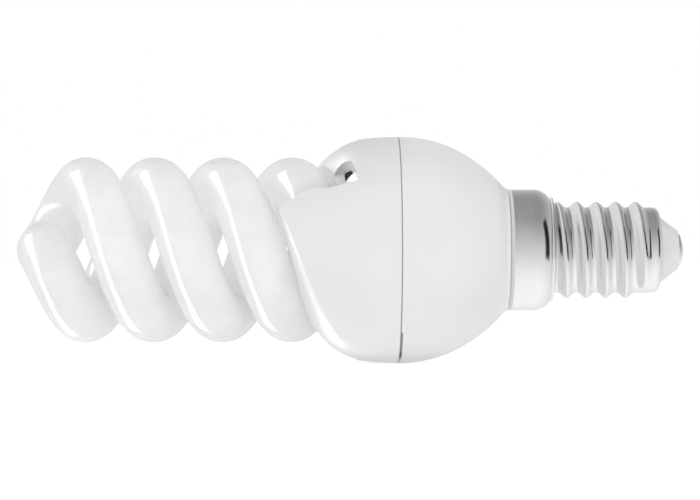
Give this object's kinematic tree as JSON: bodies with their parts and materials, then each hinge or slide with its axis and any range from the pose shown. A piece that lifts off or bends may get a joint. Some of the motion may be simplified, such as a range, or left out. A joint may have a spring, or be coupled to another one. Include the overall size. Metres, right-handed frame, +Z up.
{
  "type": "spiral energy saving bulb",
  "caption": "Compact fluorescent lamp: double-spiral coated glass tube in a white ballast housing with a small Edison screw cap.",
  "frame": {"origin": "on the lamp's axis, where the skirt of the screw cap meets the housing", "axes": "+X along the lamp's axis out through the screw cap, the glass spiral towards -X, +Z up as the lamp lies in the picture"},
  "size_m": [0.0959, 0.0324, 0.0324],
  "materials": {
    "black_epoxy": "black moulding compound",
    "black_wire": "black insulated wire",
    "board_paper": "paper laminate board",
    "bobbin_plastic": "black moulded plastic",
    "can_sleeve": "dark shrink sleeve",
    "cement": "white cement",
    "coated_glass": "phosphor-coated glass tube, white, smooth gloss",
    "contact_brass": "tinned brass contact",
    "diode_glass": "small glass case",
    "enamelled_copper": "enamelled copper wire",
    "ferrite": "dark grey ferrite",
    "film_coat": "dipped red-brown coat",
    "insulator_grey": "pale grey vitreous insulator",
    "nickel": "nickel-plated pressed sheet",
    "red_wire": "red insulated wire",
    "resistor_coat": "beige lacquer",
    "solder": "tin solder",
    "tinned_wire": "tinned wire",
    "white_plastic": "white moulded plastic, smooth satin"
  },
  "bodies": {
    "root": {"base_housing": "white_plastic", "cap_insulator": "insulator_grey", "cap_shell": "nickel", "centre_contact": "contact_brass", "choke_base": "bobbin_plastic", "choke_bobbin": "bobbin_plastic", "choke_core_front": "ferrite", "choke_core_rear": "ferrite", "choke_winding": "enamelled_copper", "circuit_board": "board_paper", "contact_solder": "solder", "coupling_capacitor": "film_coat", "drive_ring": "ferrite", "drive_windings": "enamelled_copper", "filter_inductor": "ferrite", "filter_winding": "enamelled_copper", "fuse_resistor": "resistor_coat", "live_wire": "red_wire", "neutral_wire": "black_wire", "rectifier_diode_1": "black_epoxy", "rectifier_diode_2": "black_epoxy", "rectifier_diode_3": "black_epoxy", "rectifier_diode_4": "black_epoxy", "resistor_1": "resistor_coat", "resistor_2": "resistor_coat", "resistor_3": "resistor_coat", "resistor_4": "resistor_coat", "resonant_capacitor": "film_coat", "smoothing_capacitor": "can_sleeve", "solder_joints": "solder", "spiral_tube": "coated_glass", "transistor_1": "black_epoxy", "transistor_2": "black_epoxy", "trigger_diode": "diode_glass", "tube_cement": "cement", "tube_cover": "white_plastic", "tube_lead_1": "tinned_wire", "tube_lead_2": "tinned_wire", "tube_lead_3": "tinned_wire", "tube_lead_4": "tinned_wire", "wrap_pin_1": "tinned_wire", "wrap_pin_2": "tinned_wire", "wrap_pin_3": "tinned_wire", "wrap_pin_4": "tinned_wire"}
  },
  "joints": []
}
